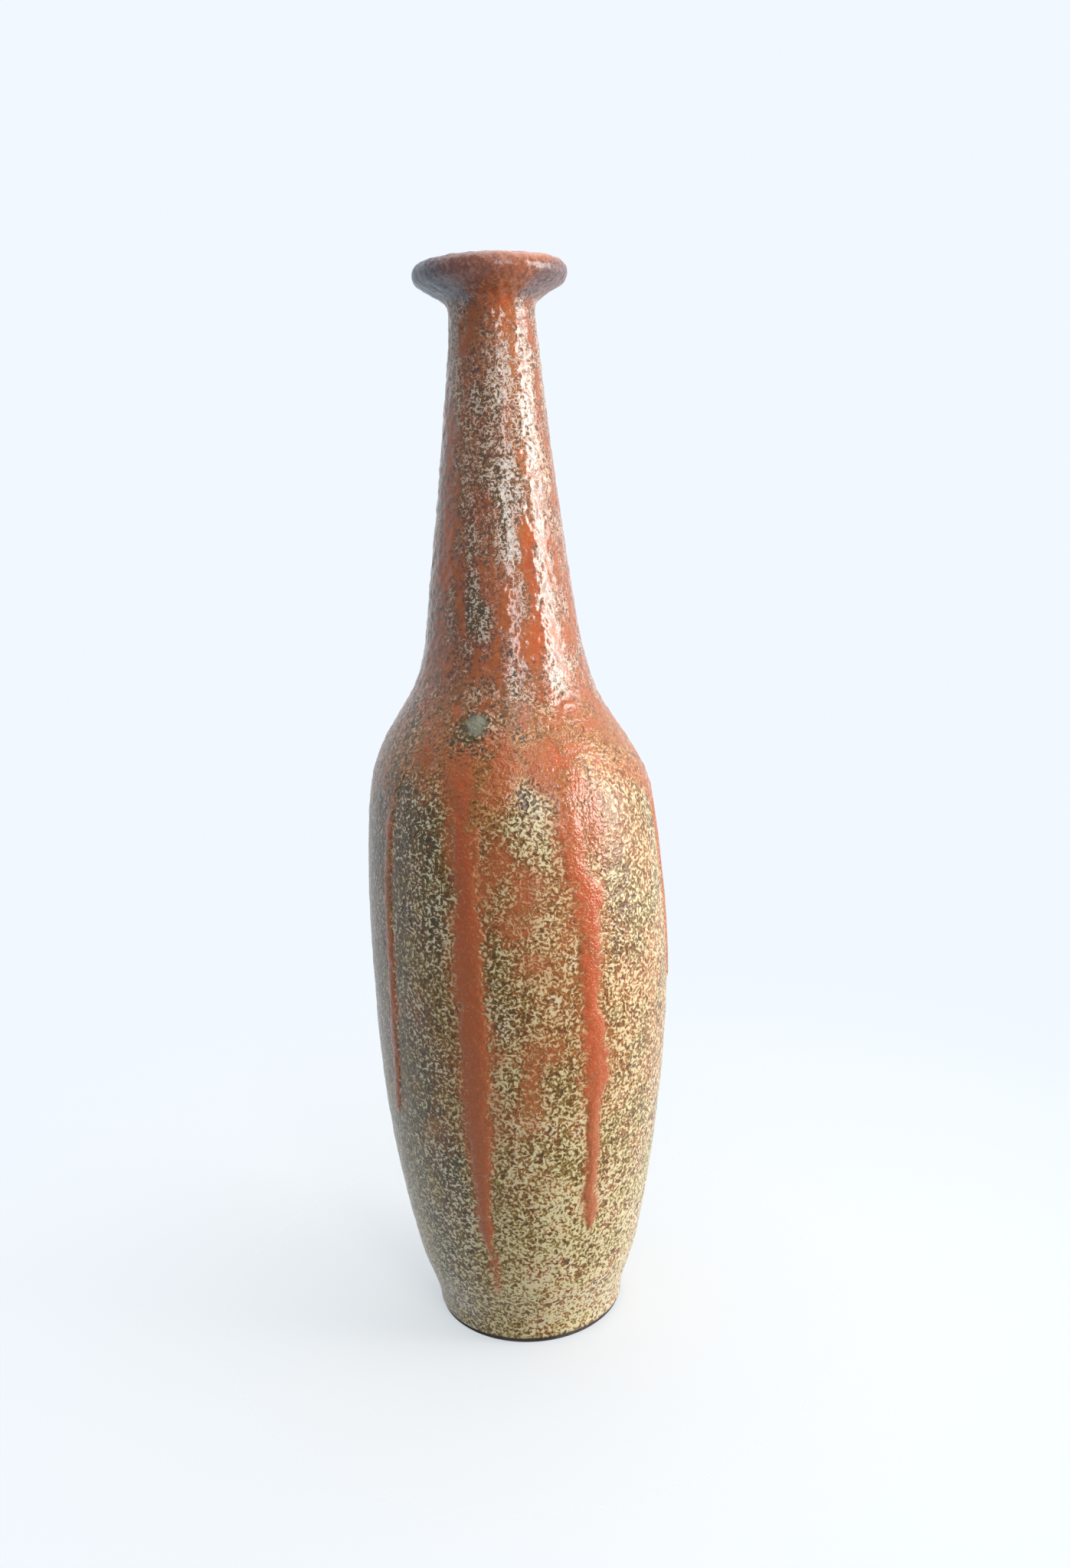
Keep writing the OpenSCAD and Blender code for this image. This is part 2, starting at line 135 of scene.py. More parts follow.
# Patches of the glazes: azimuth, height, half width in degrees, half height in mm, then what the patch adds
# to the red glaze, to the grey green of thin glaze, and to the cream flecks. Some of them paint light and
# shade, as the comments by them say.
PATCHES = (
    # On the collar. Its grey at the left end turns the lip blue grey there: a painted reflection of the sky.
    # The red on the lip's top right is partly a painted highlight of the light caught there.
    (50, 400, 36, 2.5, 0.5, -0.4, 0), (66, 396, 22, 5, -0.15, 0.2, 0), (-80, 395, 34, 9, 0, 0.95, 0),
    (22, 390, 14, 5, 0.3, -0.2, 0.1), (20, 386, 10, 4, 0.2, -0.2, -0.1),
    (-45, 384, 20, 6, -0.25, 0.7, 0), (-2, 384, 22, 6, 0.16, -0.2, -0.15),
    (48, 384, 18, 6, -0.25, 0.5, 0.1),
    # On the neck. The cream added at 19 to 34 degrees, from 340 to 375 mm high, lightens the neck where
    # glints of light fall: painted highlight.
    (22, 375, 14, 12, -0.06, 0, 0.28), (0, 372, 20, 8, -0.06, 0, 0.16),
    (19, 366, 8, 14, -0.1, -0.1, 0.3), (-50, 365, 16, 24, 0, 0.05, 0.2), (20, 364, 12, 16, 0, 0, 0.15),
    (-18, 360, 13, 14, -0.22, 0.6, 0.05), (20, 357, 10, 12, -0.14, 0.1, 0.2),
    (-48, 352, 12, 20, 0.04, 0.1, 0.1), (34, 340, 12, 26, -0.28, 0.2, 0.3),
    (4, 338, 13, 14, -0.36, 0.85, 0.15), (-15, 330, 8, 10, 0, 0, -0.15),
    (8, 318, 12, 15, -0.44, 0.9, 0.15), (-22, 315, 13, 20, -0.3, 0.7, 0.05),
    (26, 301, 9, 18, 0.27, -0.2, 0), (-6, 300, 8, 26, 0.05, -0.2, 0), (30, 300, 7, 14, 0.16, 0, -0.25),
    (58, 300, 18, 60, 0.08, -0.3, 0.1), (-50, 298, 14, 34, 0.34, 0, 0),
    (7, 288, 8, 14, -0.1, 0.1, 0.15), (-16, 281, 13, 20, -0.36, 0.8, 0), (30, 280, 7, 8, 0.1, 0, -0.12),
    (27, 274, 10, 12, 0.14, -0.2, 0), (-12, 264, 10, 9, 0.14, 0.1, 0), (24, 264, 9, 9, 0.3, -0.1, -0.1),
    (-42, 262, 10, 12, -0.08, 0.3, 0), (6, 262, 8, 8, -0.2, 0.5, 0.05),
    (50, 262, 12, 16, 0.1, -0.2, 0.2), (34, 258, 16, 9, -0.26, 0.4, 0.2),
    # On the shoulder
    (-29, 250, 8, 9, 0.26, -0.1, 0), (-33, 249, 6, 8, 0.16, -0.1, -0.1),
    (4, 248, 9, 7, 0.1, 0.15, -0.28), (39, 248, 8, 8, 0.08, 0.1, -0.25),
    (62, 246, 14, 12, 0.12, 0.15, -0.3), (14, 244, 10, 8, -0.1, 0.4, -0.1),
    (28, 242, 8, 5, -0.12, 0.1, 0.1), (-55, 240, 16, 12, -0.34, 0.6, 0),
    (-20, 240, 9, 7, -0.25, 0.5, 0), (-10, 240, 16, 9, -0.3, 0.5, 0), (30, 240, 26, 12, 0.1, 0, 0.05),
    (-42, 238, 9, 8, 0.08, 0.15, 0), (15, 238, 8, 5, -0.14, 0.2, 0.1), (2, 237, 12, 7, 0.1, 0.1, 0),
    (-22, 236, 8, 7, -0.08, 0.3, 0), (3, 235, 6, 6, 0.15, -0.1, 0), (26, 234, 7, 7, 0.16, -0.1, -0.1),
    (-5, 231, 12, 4, 0.14, -0.1, -0.1), (63, 228, 10, 9, -0.08, 0.25, 0),
    (-70, 226, 13, 22, -0.22, 0.4, 0), (25, 226, 6, 13, 0.12, -0.1, -0.1),
    (80, 225, 20, 18, 0.16, -0.1, 0), (-19, 224, 6, 13, 0.3, -0.1, -0.1), (-34, 221, 8, 6, 0.22, 0, 0),
    (-12, 221, 6, 6, 0, 0.2, 0), (11, 220, 8, 6, -0.03, 0.35, 0.04), (22, 219, 6, 6, 0.15, 0, -0.1),
    # The patches at 34 degrees, 218 mm high, and at 46 degrees, 207 mm high, take out cream under the
    # window's highlight: partly a red stain, partly painted shade.
    (34, 218, 8, 8, 0.08, 0.1, -0.15), (-38, 210, 12, 14, -0.08, 0.28, -0.1),
    (8, 208, 12, 11, -0.2, 0.1, 0.14), (46, 207, 15, 20, 0.13, 0.05, -0.08),
    (31, 206, 7, 12, 0.3, 0.1, -0.45), (-23, 205, 3.5, 10, 0.5, 0, 0), (-36, 203, 9, 14, 0.14, 0, 0),
    (-5, 200, 5, 8, 0.42, 0, -0.2),
    # On the body
    (-58, 196, 14, 26, -0.04, 0.2, -0.12), (-12, 190, 4, 10, 0.42, 0, -0.1),
    (8, 189, 5, 8, 0.18, 0, -0.1), (3, 188, 4, 10, 0.36, 0, -0.2), (18, 188, 5, 10, 0.12, 0, -0.15),
    # The patch at 41 degrees, 188 mm high, only darkens the cream under the window's highlight: painted
    # shade.
    (41, 188, 8, 20, 0, 0.2, -0.15), (-30, 180, 9, 24, -0.1, 0.3, 0), (-3, 175, 6, 6, 0.3, 0, -0.1),
    (10, 175, 6, 14, 0, 0, 0.1), (17, 172, 4, 8, 0.2, 0, 0), (40, 167, 8, 16, 0.04, 0.1, -0.12),
    (5, 161, 6, 5, 0.28, 0, -0.1), (-11, 160, 4, 14, -0.05, 0.4, 0.05), (-22, 158, 5, 12, 0, 0, 0.1),
    (16, 147, 6, 18, 0.08, 0.1, -0.15), (-40, 146, 9, 10, 0.12, 0.1, 0),
    (62, 140, 22, 60, 0.08, -0.1, 0), (-7, 138, 6, 12, -0.05, 0.35, 0), (9, 128, 7, 7, 0.24, 0, -0.1),
    (-10, 127, 5, 5, 0.36, -0.1, -0.1), (-31, 122, 8, 12, 0.1, 0.2, 0),
    (-6, 121, 5, 7, -0.1, -0.15, 0.3), (2, 115, 4, 14, 0.38, 0, -0.15),
    (-46, 110, 16, 40, 0.04, 0.2, 0), (12, 100, 8, 8, -0.05, 0.1, 0.08), (-35, 97, 8, 9, 0.18, 0.1, 0),
    (-30, 82, 8, 14, 0, 0.35, -0.1), (10, 74, 12, 8, 0.1, 0, 0), (-24, 66, 13, 16, 0, 0.15, 0),
    (-8, 66, 6, 8, 0.1, 0, -0.15), (14, 64, 9, 11, -0.05, -0.25, 0.5), (-38, 39, 14, 14, 0, 0.3, -0.1),
    (3, 22, 14, 8, 0.05, -0.1, 0.15), (6, 20, 20, 12, 0, -0.12, 0.08), (-28, 19, 12, 10, 0, 0.1, -0.12),
    # On the back and the sides
    (-150, 350, 16, 18, -0.4, 0.8, 0.1), (-95, 330, 14, 24, -0.3, 0.6, 0),
    (130, 330, 16, 24, -0.35, 0.8, 0.1), (100, 290, 14, 22, 0.26, -0.2, 0),
    (170, 290, 14, 22, -0.38, 0.85, 0.1), (-120, 280, 14, 20, -0.35, 0.8, 0),
    (150, 250, 16, 10, -0.3, 0.6, 0.1), (-170, 240, 18, 12, 0.2, -0.1, 0),
    (200, 180, 14, 14, 0.3, 0, 0), (135, 160, 12, 14, 0.26, 0, 0), (-90, 150, 14, 20, 0.2, 0.2, 0),
    (120, 95, 16, 20, -0.1, 0.3, 0),
)

# Spot on the shoulder that the red glaze left bare, and the thin glaze round it: azimuth, height,
# half width in degrees and half height in mm
BALD_SPOT = (-14, 243, 6.2, 4.2)
BALD_HALO = (-18, 241.5, 11, 7.5)

# How far the turning axis strays sideways: height, spread up and down, and shift towards +X, in mm
SWAY = ((140, 44, 1.1), (238, 16, -1.8), (285, 25, -0.45), (372, 26, 0.6))

# Lights: name, place, the point that it is turned to, its two sides in metres, the stage's power
# for it, and its colour
LIGHTS = (
    ("window_light", (0.885, -0.15, 0.36), (0, 0, 0.20), (0.52, 0.62), "key", (1, 0.985, 0.96)),
    ("strip_light", (0.82, -0.26, 0.38), (0, 0, 0.22), (0.15, 0.50), "strip", (1, 0.99, 0.97)),
    ("front_light", (0.31, -0.84, 0.46), (0, 0, 0.25), (0.12, 0.46), "side", (0.97, 0.985, 1)),
    ("high_light", (0.30, -0.78, 1.05), (0, 0, 0.22), (0.10, 0.16), "high", (1, 1, 1)),
    ("top_light", (0.15, 0.1, 1.25), (0, 0, 0), (1.3, 1.3), "top", (0.98, 0.99, 1)),
)


def srgb(red, green, blue):
    """A colour for the shaders from its value on a screen, 0 to 255."""
    return tuple(Color((red / 255, green / 255, blue / 255)).from_srgb_to_scene_linear())


class VaseSizes(bpy.types.PropertyGroup):
    """Sizes of the glaze's surface"""
    clay_steps: IntProperty(
        name="Clay Steps Round", description="Steps of the clay round the vase", default=128, min=48)
    lining_steps: IntProperty(
        name="Lining Steps Round", description="Steps of the lining round the vase", default=160, min=48)
    turn_steps: IntProperty(
        name="Steps Round", description="Steps of the cream coat round the vase", default=288, min=48)
    row_step: FloatProperty(
        name="Row Step", description="Height between the rows of the cream coat",
        default=1.3 * MM, unit="LENGTH")
    neck_steps: IntProperty(
        name="Neck Steps Round", description="Steps of the red coat round the vase", default=264, min=48)
    neck_row_step: FloatProperty(
        name="Neck Row Step", description="Height between the rows of the red coat",
        default=0.72 * MM, unit="LENGTH")
    fleck: FloatProperty(
        name="Fleck Size", description="Distance from one fleck of the cream glaze to the next",
        default=2.7 * MM, unit="LENGTH")
    body_relief: FloatProperty(
        name="Body Relief", description="Height of the lumps in the glaze on the body",
        default=0.16 * MM, unit="LENGTH")
    neck_relief: FloatProperty(
        name="Neck Relief", description="Height of the lumps in the glaze on the neck",
        default=0.29 * MM, unit="LENGTH")
    lump: FloatProperty(
        name="Lump Size", description="Distance from one lump of the glaze to the next",
        default=3.6 * MM, unit="LENGTH")
    run_height: FloatProperty(
        name="Run Height", description="Height of a run over the glaze beside it",
        default=0.9 * MM, unit="LENGTH")
    sink: FloatProperty(
        name="Edge Sink", description="How deep the thin edge of a coat or run dips into the glaze under it",
        default=0.3 * MM, unit="LENGTH")


class VaseColours(bpy.types.PropertyGroup):
    """Colours of the clay and the glazes"""
    cream: FloatVectorProperty(
        name="Cream Flecks", description="Flecks of the cream glaze", subtype="COLOR",
        default=srgb(232, 218, 172))
    ochre: FloatVectorProperty(
        name="Ochre", description="Glaze between the flecks, where it is thick", subtype="COLOR",
        default=srgb(192, 120, 52))
    olive: FloatVectorProperty(
        name="Olive", description="Glaze between the flecks, where it is greener", subtype="COLOR",
        default=srgb(148, 114, 54))
    moss: FloatVectorProperty(
        name="Moss", description="Glaze between the flecks, low on the body", subtype="COLOR",
        default=srgb(160, 130, 58))
    umber: FloatVectorProperty(
        name="Umber", description="Glaze between the flecks, where it is thin", subtype="COLOR",
        default=srgb(96, 63, 28))
    green: FloatVectorProperty(
        name="Grey Green", description="Ground where the glaze broke over the clay", subtype="COLOR",
        default=srgb(64, 64, 47))
    green_fleck: FloatVectorProperty(
        name="Grey Flecks", description="Flecks on the grey green ground", subtype="COLOR",
        default=srgb(232, 226, 194))
    tan: FloatVectorProperty(
        name="Stained Flecks", description="Cream flecks stained by the red glaze", subtype="COLOR",
        default=srgb(212, 152, 100))
    ash: FloatVectorProperty(
        name="Ash Flecks", description="Flecks that show through the red glaze on the neck", subtype="COLOR",
        default=srgb(212, 190, 178))
    rust: FloatVectorProperty(
        name="Rust", description="Thin red glaze", subtype="COLOR", default=srgb(187, 101, 54))
    scarlet: FloatVectorProperty(
        name="Scarlet", description="Thick red glaze", subtype="COLOR", default=srgb(200, 89, 47))
    bald: FloatVectorProperty(
        name="Bald Spot", description="Spot that the red glaze left bare", subtype="COLOR",
        default=srgb(150, 145, 122))
    lip: FloatVectorProperty(
        name="Lip", description="Red glaze where it ran thin over the lip", subtype="COLOR",
        default=srgb(138, 96, 92))
    # The blue grey that the lip takes where it is grey, mostly at the collar's ends, is a painted reflection
    # of the sky; on the neck this colour also darkens the gaps between the flecks.
    slate_and_sky_sheen: FloatVectorProperty(
        name="Slate", description="Thin glaze over the lip that went blue grey", subtype="COLOR",
        default=srgb(114, 124, 142))
    pit: FloatVectorProperty(
        name="Pits", description="Dark pits in the glaze over the lip", subtype="COLOR",
        default=(0.012, 0.012, 0.014))
    lining: FloatVectorProperty(
        name="Lining", description="Glaze inside", subtype="COLOR", default=srgb(92, 62, 42))
    clay: FloatVectorProperty(
        name="Bare Clay", description="Fired clay of the foot", subtype="COLOR",
        default=srgb(84, 70, 66))
    scorch: FloatVectorProperty(
        name="Scorch", description="What burnt places in the clay turn to", subtype="COLOR",
        default=(0.01, 0.008, 0.008))


class VaseStage(bpy.types.PropertyGroup):
    """The camera, the lights and the floor"""
    focal_px: FloatProperty(
        name="Focal Length", description="Focal length in pixels of a picture 2048 pixels high",
        default=1720)
    picture_px: FloatProperty(
        name="Picture Height", description="Height of the picture in pixels", default=2048)
    distance: FloatProperty(
        name="Camera Distance", description="Level distance from the turning axis to the camera",
        default=487.7 * MM, unit="LENGTH")
    height: FloatProperty(
        name="Camera Height", description="Height of the camera above the floor",
        default=320.95 * MM, unit="LENGTH")
    pitch: FloatProperty(
        name="Pitch", description="How far the camera looks down",
        default=math.radians(12.43), unit="ROTATION")
    yaw: FloatProperty(
        name="Yaw", description="How far the camera looks to the right",
        default=math.radians(1.11), unit="ROTATION")
    roll: FloatProperty(
        name="Roll", description="How far the camera is rolled",
        default=math.radians(-2.18), unit="ROTATION")
    key: FloatProperty(
        name="Key Light", description="Power of the wide window on the right", default=5.8, unit="POWER")
    strip: FloatProperty(
        name="Strip Light", description="Power of the bright strip in the window", default=2.4, unit="POWER")
    side: FloatProperty(
        name="Side Light", description="Power of the narrow window in front", default=2.0, unit="POWER")
    high: FloatProperty(
        name="High Light", description="Power of the small window high in front", default=1.0, unit="POWER")
    top: FloatProperty(
        name="Top Light", description="Power of the soft light overhead", default=8.7, unit="POWER")
    fill: FloatProperty(
        name="Fill", description="Strength of the room's light on the vase", default=0.22)
    front: FloatProperty(
        name="Front Reflection", description="Strength of the room's front side in the glaze", default=0.3)
    backdrop: FloatVectorProperty(
        name="Backdrop", description="Colour behind the vase", subtype="COLOR", default=srgb(241, 248, 255))
    floor: FloatVectorProperty(
        name="Floor", description="Colour of the floor", subtype="COLOR", default=srgb(246, 242, 236))


# Shader nodes
class Value:
    """A number that changes over a surface; its arithmetic adds Math nodes."""

    def __init__(self, shading, socket):
        self.shading = shading
        self.socket = socket

    def math(self, operation, first, second):
        return self.shading.node("ShaderNodeMath", {"operation": operation}, {0: first, 1: second})

    def __add__(self, other):
        return self.math("ADD", self, other)

    __radd__ = __add__

    def __mul__(self, other):
        return self.math("MULTIPLY", self, other)

    __rmul__ = __mul__

    def __sub__(self, other):
        return self.math("SUBTRACT", self, other)

    def __rsub__(self, other):
        return self.math("SUBTRACT", other, self)

    def __abs__(self):
        return self.math("ABSOLUTE", self, 0)


class Shading:
    """The nodes of a material or of the world."""

    def __init__(self, owner):
        owner.use_nodes = True
        self.tree = owner.node_tree
        self.tree.nodes.clear()

    def node(self, kind, settings=None, sockets=None, output=0):
        """Adds a node, sets it, fills its sockets and gives one of its outputs, if it has any."""
        made = self.tree.nodes.new(kind)
        for name, value in (settings or {}).items():
            setattr(made, name, value)
        for name, value in (sockets or {}).items():
            if isinstance(value, Value):
                self.tree.links.new(value.socket, made.inputs[name])
            elif hasattr(value, "__len__") and made.inputs[name].type == "RGBA":
                made.inputs[name].default_value = (*value[:3], 1)
            else:
                made.inputs[name].default_value = value
        return Value(self, made.outputs[output]) if made.outputs else None


class Surface(Shading):
    """A material and its nodes; the scales of its noises are in lumps per metre."""

    def __init__(self, name):
        self.material = bpy.data.materials.new(name)
        super().__init__(self.material)
        self.place = self.node("ShaderNodeTexCoord", output="Object")

    def noise(self, scale, detail, distortion=0.0, place=None):
        return self.node(
            "ShaderNodeTexNoise", {},
            {"Vector": place or self.place, "Scale": scale, "Detail": detail, "Distortion": distortion})

    def swing(self, scale, **settings):
        """Noise that swings round 0, from a half below it to a half above."""
        return self.noise(scale, **settings) - 0.5

    def stretched(self, x, y, z):
        """The place on the vase with each direction squeezed or stretched."""
        return self.node("ShaderNodeMapping", {}, {"Vector": self.place, "Scale": (x, y, z)})

    def step(self, value, low, high):
        """0 under low, 1 over high, and a soft rise between."""
        return self.node(
            "ShaderNodeMapRange", {"interpolation_type": "SMOOTHSTEP"},
            {"Value": value, "From Min": low, "From Max": high})

    def mix(self, share, first, second):
        """One colour turning into another."""
        return self.node(
            "ShaderNodeMix", {"data_type": "RGBA"}, {0: share, 6: first, 7: second}, output=2)

    def attribute(self, name):
        """An amount that is written on the points."""
        return self.node("ShaderNodeAttribute", {"attribute_name": name}, output="Fac")

    def bump(self, height, distance, strength):
        return self.node(
            "ShaderNodeBump", {}, {"Height": height, "Distance": distance, "Strength": strength})

    def finish(self, **sockets):
        """Ends the material in a Principled shader with these sockets."""
        named = {name.replace("_", " "): value for name, value in sockets.items()}
        shader = self.node("ShaderNodeBsdfPrincipled", {}, named)
        self.node("ShaderNodeOutputMaterial", {}, {"Surface": shader})
        return self.material


def glaze_material(name):
    """The cream glaze with the red glaze over it, by how much of each there is at a place."""
    size = bpy.context.scene.vase_sizes
    tint = bpy.context.scene.vase_colours
    s = Surface(name)
    red_amount = s.attribute("red")
    grey_amount = s.attribute("grey")
    cream_amount = s.attribute("cream")
    hot_amount = s.attribute("hot")
    coat_amount = s.attribute("coat")
    neck_amount = s.attribute("neck")
    lip_amount = s.attribute("lip")
    height = s.node("ShaderNodeSeparateXYZ", {}, {"Vector": s.place}, output="Z")
    low_share = 1 - s.step(height, 0.05, 0.15)
    wide_curls = s.swing(1.15 / size.fleck, detail=1.0, distortion=0.8)
    fine_curls = s.swing(1.7 / size.fleck, detail=1.0, distortion=0.8)
    curls = wide_curls + neck_amount * (fine_curls - wide_curls)
    breaks = s.swing(2.3 / size.fleck, detail=0.0)
    grains = s.swing(4.4 / size.fleck, detail=1.0)
    clouds = s.swing(42, detail=3.0)
    spots = s.swing(125, detail=1.0, distortion=0.4, place=s.stretched(1, 1, 0.75))
    drifts = s.swing(16, detail=2.0, place=s.stretched(1, 1, 0.45))
    streaks = s.swing(190, detail=2.0, place=s.stretched(1, 1, 0.16))

    # Short curled flecks: the middle lines of one noise, broken up by a finer one
    flecks = 0.60 - 5.0 * abs(curls) + 1.5 * breaks + 0.8 * grains
    # The grey and cream amounts carry the glaze's own colours and also painted light: light on the vase's
    # right and shade on its left, shade under the window's highlight on the shoulder, a sky reflection at
    # the collar's ends and a highlight near the top of the neck.
    grey_share = s.step(grey_amount + 0.8 * drifts + 0.9 * clouds + 1.1 * spots, 0.10, 0.70)
    cover = flecks + 0.45 * clouds + 0.6 * cream_amount
    hue = s.step(drifts + 0.8 * clouds + 0.8 * spots - 0.16 * low_share, -0.12, 0.12)

    # How far the red glaze goes at a place: a stain, then a film over the flecks, then a solid coat
    flow = red_amount + 2.0 * neck_amount * streaks + 0.5 * clouds - 1.3 * coat_amount * spots
    broken_flow = flow + (0.7 + 0.9 * coat_amount) * breaks + (0.55 + 0.5 * coat_amount) * grains
    broken_flow = broken_flow - 0.3 * (flecks - 0.25)
    stain_share = s.step(flow, -0.02, 0.36)
    film_share = s.step(broken_flow, 0.24, 0.46)
    solid_share = s.step(broken_flow, 0.62, 0.84)
    scarlet_share = s.step(hot_amount + 0.7 * clouds + 0.8 * breaks + 0.4 * grains, 0.50, 0.95)

    # Dark gaps, the glaze round the flecks, and the flecks
    film = s.mix(0.5 * hue, tint.rust, tint.olive)
    film = s.mix(0.3 * neck_amount, film, tint.lip)
    filled = (0.3 * stain_share + 0.55 * film_share) * (1 - 0.55 * coat_amount - 0.3 * neck_amount)
    dark = s.mix(filled, tint.umber, film)
    dark = s.mix(grey_share * (1 - 0.6 * neck_amount), dark, tint.green)
    dark = s.mix(0.2 * neck_amount, dark, tint.slate_and_sky_sheen)
    middle = s.mix(hue, s.mix(low_share, tint.olive, tint.moss), tint.ochre)
    middle = s.mix(0.65 * grey_share, middle, tint.green)
    middle = s.mix(0.7 * stain_share, middle, film)
    middle = s.mix(film_share, middle, film)
    pale = s.mix(grey_share, tint.cream, tint.green_fleck)
    pale = s.mix(0.6 * stain_share * (1 - grey_share), pale, tint.tan)
    pale = s.mix(0.8 * coat_amount, pale, s.mix(neck_amount, tint.tan, tint.ash))
    pale = s.mix(0.7 * film_share, pale, s.mix(0.75 * neck_amount, tint.tan, tint.ash))
    middle_share = s.step(cover + 1.1 * grains + (0.25 - 0.4 * neck_amount) * film_share, -0.42, 0.36)
    fleck_cover = cover - (0.16 + 0.06 * neck_amount) * film_share - 0.15 * grey_share
    fleck_share = s.step(fleck_cover, 0.28, 0.74 - 0.24 * grey_share)
    glaze = s.mix(fleck_share, s.mix(middle_share, dark, middle), pale)

    # The solid red coat, faintly mottled
    mottle = s.step(breaks + 0.7 * grains + 0.3 * clouds, -0.06, 0.16)
    rust = s.mix(0.4 * mottle, tint.rust, s.mix(0.5, dark, tint.rust))
    scarlet = s.mix(0.5 * mottle, tint.scarlet, tint.rust)
    solid = s.mix(scarlet_share, rust, scarlet)
    blotch = s.step(spots + 0.5 * clouds + 0.4 * breaks, -0.02, 0.22)
    solid = s.mix(0.34 * blotch * (1 - 0.3 * neck_amount), solid, dark)
    solid = s.mix(0.26 * fleck_share, solid, tint.tan)
    glaze = s.mix(solid_share, glaze, solid)

    # Where the glazes ran thin or thick over the lip, with painted reflection, highlight and shade at its
    # ends, and the spot left bare
    lip = s.mix(0.35 * mottle, tint.lip, s.mix(0.5, dark, tint.rust))
    # The lip turns blue grey where it is grey, mostly at the collar's ends: a painted reflection of the sky.
    lip = s.mix(s.step(grey_amount + 0.5 * clouds, 0.2, 0.9), lip, tint.slate_and_sky_sheen)
    # The lip turns rust where it is red; on its top right this is partly a painted highlight.
    lip = s.mix(s.step(red_amount + 0.3 * clouds + 0.1 * grains, 0.45, 0.80), lip, tint.rust)
    # The pits are thicker where the lip is grey, which darkens mostly the collar's left end: painted shade
    # over real pits.
    lip = s.mix((0.18 + 0.3 * grey_share) * (1 - mottle), lip, tint.pit)
    lip_share = s.step(lip_amount + 0.5 * clouds, 0.1, 0.9)
    glaze = s.mix(lip_share, glaze, s.mix(0.22 * fleck_share, lip, pale))
    bald_amount = s.attribute("bald") + 0.7 * clouds + 0.8 * spots + 0.35 * breaks
    bald_share = s.step(bald_amount, 0.36, 0.60)
    bare_share = s.step(bald_amount + 0.3 * grains, 0.42, 0.86)
    bald = s.mix(bare_share, s.mix(0.5, tint.green, tint.bald), tint.bald)
    glaze = s.mix(bald_share, glaze, bald)

    rise = 0.4 * (flecks + 1.8 * solid_share * grains)
    rise = rise * (1 - 0.25 * solid_share) * (1 - 0.9 * neck_amount)
    rise = rise + coat_amount * (0.3 + 0.3 * spots + 0.3 * breaks)
    rough = 0.26 - 0.08 * coat_amount - 0.05 * solid_share + 0.12 * lip_amount
    rough = rough + 0.08 * fleck_share + 0.3 * bald_share
    return s.finish(
        Base_Color=glaze,
        Roughness=rough,
        IOR=1.6,
        Normal=s.bump(rise, 0.30 * MM, 0.8),
    )


def lining_material():
    """The brown glaze inside."""
    tint = bpy.context.scene.vase_colours
    s = Surface("brown_lining")
    clouds = s.noise(60, detail=3.0)
    specks = s.noise(700, detail=1.0)
    return s.finish(
        Base_Color=s.mix(s.step(clouds, 0.35, 0.65), tint.lining, s.mix(0.45, tint.lining, tint.rust)),
        Roughness=0.2 + 0.15 * specks,
        IOR=1.54,
        Normal=s.bump(specks + 2 * clouds, 0.2 * MM, 0.5),
    )


def clay_material():
    """Bare fired clay with fine grit and the marks of turning."""
    tint = bpy.context.scene.vase_colours
    s = Surface("bare_clay")
    grit = s.noise(2600, detail=2.0)
    rings = s.noise(300, detail=2.0, place=s.stretched(0.05, 0.05, 6))
    scorch = s.noise(55, detail=2.0)
    burnt = s.mix(0.5, tint.clay, tint.scorch)
    return s.finish(
        Base_Color=s.mix(s.step(scorch + 0.3 * (grit - 0.5), 0.35, 0.65), tint.clay, burnt),
        Roughness=0.72 + 0.2 * grit,
        Normal=s.bump(grit + rings, 0.12 * MM, 0.7),
    )


# Shapes read from the frame
def section(node):
    """The outline that a turned node has towards +X, as (radius, height) points in order."""
    bm = bmesh.new()
    bm.from_mesh(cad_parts[node].data)
    bmesh.ops.remove_doubles(bm, verts=bm.verts, dist=NEAR)
    bmesh.ops.bisect_plane(
        bm, geom=[*bm.verts, *bm.edges, *bm.faces], dist=NEAR, plane_co=(0, 0, 0), plane_no=(0, 1, 0),
        clear_inner=True, clear_outer=True)
    away = [v for v in bm.verts if v.co.x < -NEAR]
    bmesh.ops.delete(bm, geom=away, context="VERTS")
    ends = [v for v in bm.verts if len(v.link_edges) == 1]
    here = min(ends or bm.verts, key=lambda v: (round(v.co.z, 6), v.co.x))
    line, came = [here], None
    while True:
        ways = [e for e in here.link_edges if e is not came]
        if came is None:
            ways.sort(key=lambda e: -e.calc_length())
        if not ways:
            break
        came = ways[0]
        here = came.other_vert(here)
        if here is line[0]:
            break
        line.append(here)
    points = [Vector((max(0, v.co.x), 0, v.co.z)) for v in line]
    bm.free()
    return points


def flowing(points, step):
    """A smooth line through the points, with points of its own about a step apart."""
    gaps = [b - a for a, b in zip(points, points[1:])]
    ways = [gaps[0].normalized()]
    for before, after in zip(gaps, gaps[1:]):
        way = before.normalized() * after.length + after.normalized() * before.length
        ways.append(way.normalized())
    ways.append(gaps[-1].normalized())
    line = []
    for a, b, way_a, way_b in zip(points, points[1:], ways, ways[1:]):
        reach = (b - a).length / 3
        count = max(2, round((b - a).length / step) + 1)
        line += interpolate_bezier(a, a + way_a * reach, b - way_b * reach, b, count)[:-1]
    return line + [points[-1]]


